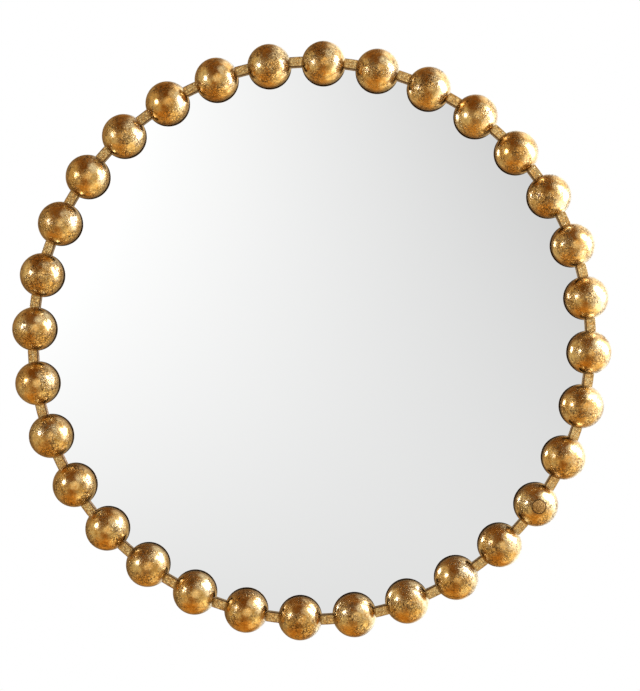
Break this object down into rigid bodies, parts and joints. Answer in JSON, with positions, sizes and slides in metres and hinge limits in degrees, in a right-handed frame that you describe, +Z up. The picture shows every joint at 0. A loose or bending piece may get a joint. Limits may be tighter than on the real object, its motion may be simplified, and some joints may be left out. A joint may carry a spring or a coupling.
{
  "type": "round beaded wall mirror",
  "caption": "Round flat wall mirror in a gilt frame of half-balls on a flat band, with backing board, turn buttons and folding hanger rings.",
  "frame": {"origin": "the point of the wall behind the middle of the ring of balls", "axes": "+Z up, +X to the right of a person who looks into the mirror, +Y towards the wall; the glass faces -Y"},
  "size_m": [0.9144, 0.0618, 0.9144],
  "materials": {
    "gilt_ball": "rubbed gold leaf over turned wood, satin gloss, crackled and speckled",
    "gilt_plug": "gold leaf on a flat plug, duller than the balls",
    "gilt_band": "coarse gold leaf on flat iron bar",
    "mirror": "clear float glass silvered behind",
    "rim_iron": "dark painted iron, slightly rough",
    "glazing_tape": "matt foam tape",
    "backing_board": "bare fibreboard",
    "zinc_steel": "bright zinc plate",
    "rubber": "black rubber"
  },
  "bodies": {
    "mirror": {"front_band": "gilt_band", "rim_hoop": "rim_iron", "glazing_tape": "glazing_tape", "mirror_glass": "mirror", "backing_board": "backing_board", "ball_01": "gilt_ball", "ball_02": "gilt_ball", "ball_03": "gilt_ball", "ball_04": "gilt_ball", "ball_05": "gilt_ball", "ball_06": "gilt_ball", "ball_07": "gilt_ball", "ball_08": "gilt_ball", "ball_09": "gilt_ball", "ball_10": "gilt_ball", "ball_11": "gilt_ball", "ball_12": "gilt_ball", "ball_13": "gilt_ball", "ball_14": "gilt_ball", "ball_15": "gilt_ball", "ball_16": "gilt_ball", "ball_17": "gilt_ball", "ball_18": "gilt_ball", "ball_19": "gilt_ball", "ball_20": "gilt_ball", "ball_21": "gilt_ball", "ball_22": "gilt_ball", "ball_23": "gilt_ball", "ball_24": "gilt_ball", "ball_25": "gilt_ball", "ball_26": "gilt_ball", "ball_27": "gilt_ball", "ball_28": "gilt_ball", "ball_29": "gilt_ball", "ball_30": "gilt_ball", "ball_31": "gilt_ball", "ball_32": "gilt_ball", "ball_12_plug": "gilt_plug", "turn_button_screw_1": "zinc_steel", "turn_button_screw_2": "zinc_steel", "turn_button_screw_3": "zinc_steel", "turn_button_screw_4": "zinc_steel", "hanger_strap_left": "zinc_steel", "hanger_strap_right": "zinc_steel", "hanger_screw_left_1": "zinc_steel", "hanger_screw_left_2": "zinc_steel", "hanger_screw_right_1": "zinc_steel", "hanger_screw_right_2": "zinc_steel", "bumper_1": "rubber", "bumper_2": "rubber", "bumper_3": "rubber", "bumper_4": "rubber"},
    "hanger_ring_left": {"hanger_ring_left": "zinc_steel"},
    "hanger_ring_right": {"hanger_ring_right": "zinc_steel"},
    "turn_button_1": {"turn_button_1": "zinc_steel"},
    "turn_button_2": {"turn_button_2": "zinc_steel"},
    "turn_button_3": {"turn_button_3": "zinc_steel"},
    "turn_button_4": {"turn_button_4": "zinc_steel"}
  },
  "joints": [
    {"name": "hanger_ring_left_fold", "type": "hinge", "parent": "mirror", "child": "hanger_ring_left", "pos_m": [-0.2, -0.005, 0.17], "axis": [-1, 0, 0], "range_deg": [0, 180]},
    {"name": "hanger_ring_right_fold", "type": "hinge", "parent": "mirror", "child": "hanger_ring_right", "pos_m": [0.2, -0.005, 0.17], "axis": [-1, 0, 0], "range_deg": [0, 180]},
    {"name": "turn_button_1_spin", "type": "hinge", "parent": "mirror", "child": "turn_button_1", "pos_m": [0.31256, -0.007, 0.31256], "axis": [0, 1, 0], "continuous": true},
    {"name": "turn_button_2_spin", "type": "hinge", "parent": "mirror", "child": "turn_button_2", "pos_m": [0.31256, -0.007, -0.31256], "axis": [0, 1, 0], "continuous": true},
    {"name": "turn_button_3_spin", "type": "hinge", "parent": "mirror", "child": "turn_button_3", "pos_m": [-0.31256, -0.007, -0.31256], "axis": [0, 1, 0], "continuous": true},
    {"name": "turn_button_4_spin", "type": "hinge", "parent": "mirror", "child": "turn_button_4", "pos_m": [-0.31256, -0.007, 0.31256], "axis": [0, 1, 0], "continuous": true}
  ]
}
